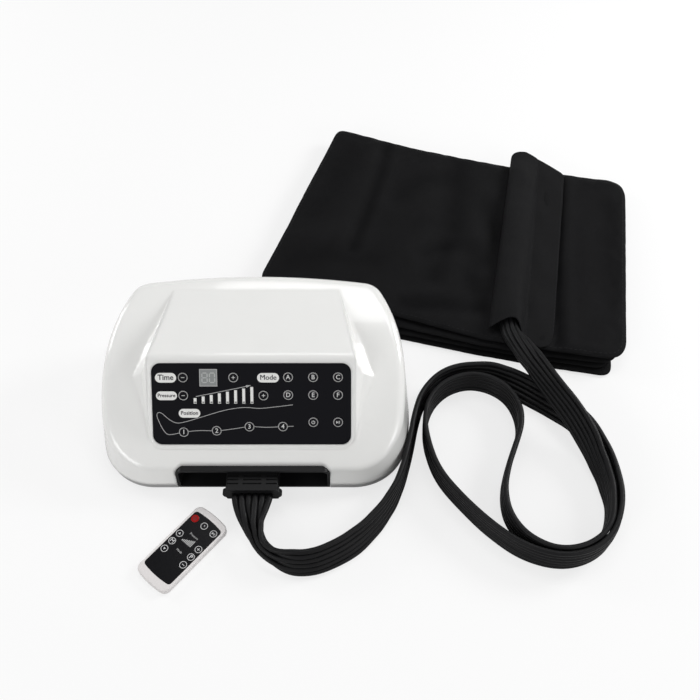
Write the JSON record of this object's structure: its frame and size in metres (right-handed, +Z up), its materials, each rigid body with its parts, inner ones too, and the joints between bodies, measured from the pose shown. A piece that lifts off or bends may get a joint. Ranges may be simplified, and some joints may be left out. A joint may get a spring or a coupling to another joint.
{
  "type": "air compression leg massager",
  "caption": "Console with sloping membrane panel, ribbon air hose with a plug, folded leg cuff with a hose sleeve, and a slim keyed remote.",
  "frame": {"origin": "middle of the whole set at floor level, measured without the free hose and its plug", "axes": "+X to the right as the console's panel is read, +Y to the back, +Z up"},
  "size_m": [0.5739, 0.597, 0.1077],
  "materials": {
    "cover_white": "glossy white moulded plastic",
    "tray_grey": "light grey moulded plastic",
    "panel_black": "glossy black film",
    "lens_grey": "smoked display window",
    "key_black": "key discs with a printed ring and sign",
    "bar_white": "white light bars",
    "remote_power_red": "glowing red key",
    "socket_black": "black moulded plastic",
    "hose_black": "satin black hose",
    "seal_black": "soft black rubber",
    "foot_rubber": "dark grey rubber",
    "clear_tube": "milky silicone",
    "cuff_nylon": "black woven nylon",
    "bladder_film": "welded film",
    "board_green": "circuit board",
    "part_black": "moulded components",
    "pump_grey": "painted pump and motor",
    "manifold_white": "moulded manifold",
    "steel": "plain steel",
    "brass_pin": "plated pins",
    "remote_shell": "light grey plastic"
  },
  "bodies": {
    "set": {"air_bladders": "bladder_film", "air_pump": "pump_grey", "air_socket": "socket_black", "air_tubes": "clear_tube", "base_tray": "tray_grey", "case_screws": "steel", "cuff_lower": "cuff_nylon", "cuff_upper": "cuff_nylon", "display_lens": "lens_grey", "display_module": "part_black", "hose_run": "hose_black", "hose_sleeve": "cuff_nylon", "inlet_pins": "brass_pin", "key_switches": "part_black", "mains_inlet": "socket_black", "panel_board": "board_green", "panel_overlay": "panel_black", "power_board": "board_green", "power_parts": "part_black", "pressure_bars": "bar_white", "pump_mounts": "seal_black", "remote_back": "remote_shell", "remote_board": "board_green", "remote_overlay": "panel_black", "remote_top": "remote_shell", "rubber_feet": "foot_rubber", "socket_nozzles": "part_black", "solenoid_valves": "part_black", "top_cover": "cover_white", "valve_manifold": "manifold_white"},
    "hose_plug": {"plug_body": "socket_black", "plug_gasket": "seal_black", "hose_lead": "hose_black"},
    "cell_drawer": {"battery_drawer": "remote_shell", "coin_cell": "steel"},
    "time_minus_key": {"time_minus_key": "key_black"},
    "time_plus_key": {"time_plus_key": "key_black"},
    "pressure_minus_key": {"pressure_minus_key": "key_black"},
    "pressure_plus_key": {"pressure_plus_key": "key_black"},
    "mode_a_key": {"mode_a_key": "key_black"},
    "mode_b_key": {"mode_b_key": "key_black"},
    "mode_c_key": {"mode_c_key": "key_black"},
    "mode_d_key": {"mode_d_key": "key_black"},
    "mode_e_key": {"mode_e_key": "key_black"},
    "mode_f_key": {"mode_f_key": "key_black"},
    "position_1_key": {"position_1_key": "key_black"},
    "position_2_key": {"position_2_key": "key_black"},
    "position_3_key": {"position_3_key": "key_black"},
    "position_4_key": {"position_4_key": "key_black"},
    "power_key": {"power_key": "key_black"},
    "play_key": {"play_key": "key_black"},
    "remote_power_key": {"remote_power_key": "remote_power_red"},
    "remote_time_key": {"remote_time_key": "key_black"},
    "remote_play_key": {"remote_play_key": "key_black"},
    "remote_mode_up_key": {"remote_mode_up_key": "key_black"},
    "remote_mode_key": {"remote_mode_key": "key_black"},
    "remote_mode_down_key": {"remote_mode_down_key": "key_black"},
    "remote_plus_key": {"remote_plus_key": "key_black"},
    "remote_pressure_key": {"remote_pressure_key": "key_black"},
    "remote_minus_key": {"remote_minus_key": "key_black"}
  },
  "joints": [
    {"name": "time_minus_press", "type": "slide", "parent": "set", "child": "time_minus_key", "axis": [0, 0.6947, -0.7193], "range_m": [0, 0.00035], "stiffness_N_per_m": 400, "springref_m": -0.0003},
    {"name": "time_plus_press", "type": "slide", "parent": "set", "child": "time_plus_key", "axis": [0, 0.6947, -0.7193], "range_m": [0, 0.00035], "stiffness_N_per_m": 400, "springref_m": -0.0003},
    {"name": "pressure_minus_press", "type": "slide", "parent": "set", "child": "pressure_minus_key", "axis": [0, 0.6947, -0.7193], "range_m": [0, 0.00035], "stiffness_N_per_m": 400, "springref_m": -0.0003},
    {"name": "pressure_plus_press", "type": "slide", "parent": "set", "child": "pressure_plus_key", "axis": [0, 0.6947, -0.7193], "range_m": [0, 0.00035], "stiffness_N_per_m": 400, "springref_m": -0.0003},
    {"name": "mode_a_press", "type": "slide", "parent": "set", "child": "mode_a_key", "axis": [0, 0.6947, -0.7193], "range_m": [0, 0.00035], "stiffness_N_per_m": 400, "springref_m": -0.0003},
    {"name": "mode_b_press", "type": "slide", "parent": "set", "child": "mode_b_key", "axis": [0, 0.6947, -0.7193], "range_m": [0, 0.00035], "stiffness_N_per_m": 400, "springref_m": -0.0003},
    {"name": "mode_c_press", "type": "slide", "parent": "set", "child": "mode_c_key", "axis": [0, 0.6947, -0.7193], "range_m": [0, 0.00035], "stiffness_N_per_m": 400, "springref_m": -0.0003},
    {"name": "mode_d_press", "type": "slide", "parent": "set", "child": "mode_d_key", "axis": [0, 0.6947, -0.7193], "range_m": [0, 0.00035], "stiffness_N_per_m": 400, "springref_m": -0.0003},
    {"name": "mode_e_press", "type": "slide", "parent": "set", "child": "mode_e_key", "axis": [0, 0.6947, -0.7193], "range_m": [0, 0.00035], "stiffness_N_per_m": 400, "springref_m": -0.0003},
    {"name": "mode_f_press", "type": "slide", "parent": "set", "child": "mode_f_key", "axis": [0, 0.6947, -0.7193], "range_m": [0, 0.00035], "stiffness_N_per_m": 400, "springref_m": -0.0003},
    {"name": "position_1_press", "type": "slide", "parent": "set", "child": "position_1_key", "axis": [0, 0.6947, -0.7193], "range_m": [0, 0.00035], "stiffness_N_per_m": 400, "springref_m": -0.0003},
    {"name": "position_2_press", "type": "slide", "parent": "set", "child": "position_2_key", "axis": [0, 0.6947, -0.7193], "range_m": [0, 0.00035], "stiffness_N_per_m": 400, "springref_m": -0.0003},
    {"name": "position_3_press", "type": "slide", "parent": "set", "child": "position_3_key", "axis": [0, 0.6947, -0.7193], "range_m": [0, 0.00035], "stiffness_N_per_m": 400, "springref_m": -0.0003},
    {"name": "position_4_press", "type": "slide", "parent": "set", "child": "position_4_key", "axis": [0, 0.6947, -0.7193], "range_m": [0, 0.00035], "stiffness_N_per_m": 400, "springref_m": -0.0003},
    {"name": "power_press", "type": "slide", "parent": "set", "child": "power_key", "axis": [0, 0.6947, -0.7193], "range_m": [0, 0.00035], "stiffness_N_per_m": 400, "springref_m": -0.0003},
    {"name": "play_press", "type": "slide", "parent": "set", "child": "play_key", "axis": [0, 0.6947, -0.7193], "range_m": [0, 0.00035], "stiffness_N_per_m": 400, "springref_m": -0.0003},
    {"name": "remote_power_press", "type": "slide", "parent": "set", "child": "remote_power_key", "axis": [0, 0, -1], "range_m": [0, 0.0003], "stiffness_N_per_m": 400, "springref_m": -0.0003},
    {"name": "remote_time_press", "type": "slide", "parent": "set", "child": "remote_time_key", "axis": [0, 0, -1], "range_m": [0, 0.0003], "stiffness_N_per_m": 400, "springref_m": -0.0003},
    {"name": "remote_play_press", "type": "slide", "parent": "set", "child": "remote_play_key", "axis": [0, 0, -1], "range_m": [0, 0.0003], "stiffness_N_per_m": 400, "springref_m": -0.0003},
    {"name": "remote_mode_up_press", "type": "slide", "parent": "set", "child": "remote_mode_up_key", "axis": [0, 0, -1], "range_m": [0, 0.0003], "stiffness_N_per_m": 400, "springref_m": -0.0003},
    {"name": "remote_mode_press", "type": "slide", "parent": "set", "child": "remote_mode_key", "axis": [0, 0, -1], "range_m": [0, 0.0003], "stiffness_N_per_m": 400, "springref_m": -0.0003},
    {"name": "remote_mode_down_press", "type": "slide", "parent": "set", "child": "remote_mode_down_key", "axis": [0, 0, -1], "range_m": [0, 0.0003], "stiffness_N_per_m": 400, "springref_m": -0.0003},
    {"name": "remote_plus_press", "type": "slide", "parent": "set", "child": "remote_plus_key", "axis": [0, 0, -1], "range_m": [0, 0.0003], "stiffness_N_per_m": 400, "springref_m": -0.0003},
    {"name": "remote_pressure_press", "type": "slide", "parent": "set", "child": "remote_pressure_key", "axis": [0, 0, -1], "range_m": [0, 0.0003], "stiffness_N_per_m": 400, "springref_m": -0.0003},
    {"name": "remote_minus_press", "type": "slide", "parent": "set", "child": "remote_minus_key", "axis": [0, 0, -1], "range_m": [0, 0.0003], "stiffness_N_per_m": 400, "springref_m": -0.0003},
    {"name": "plug_pull", "type": "slide", "parent": "set", "child": "hose_plug", "axis": [0, -1, 0], "range_m": [0, 0.02]},
    {"name": "drawer_pull", "type": "slide", "parent": "set", "child": "cell_drawer", "axis": [-0.6468, -0.7627, 0], "range_m": [0, 0.025]}
  ]
}
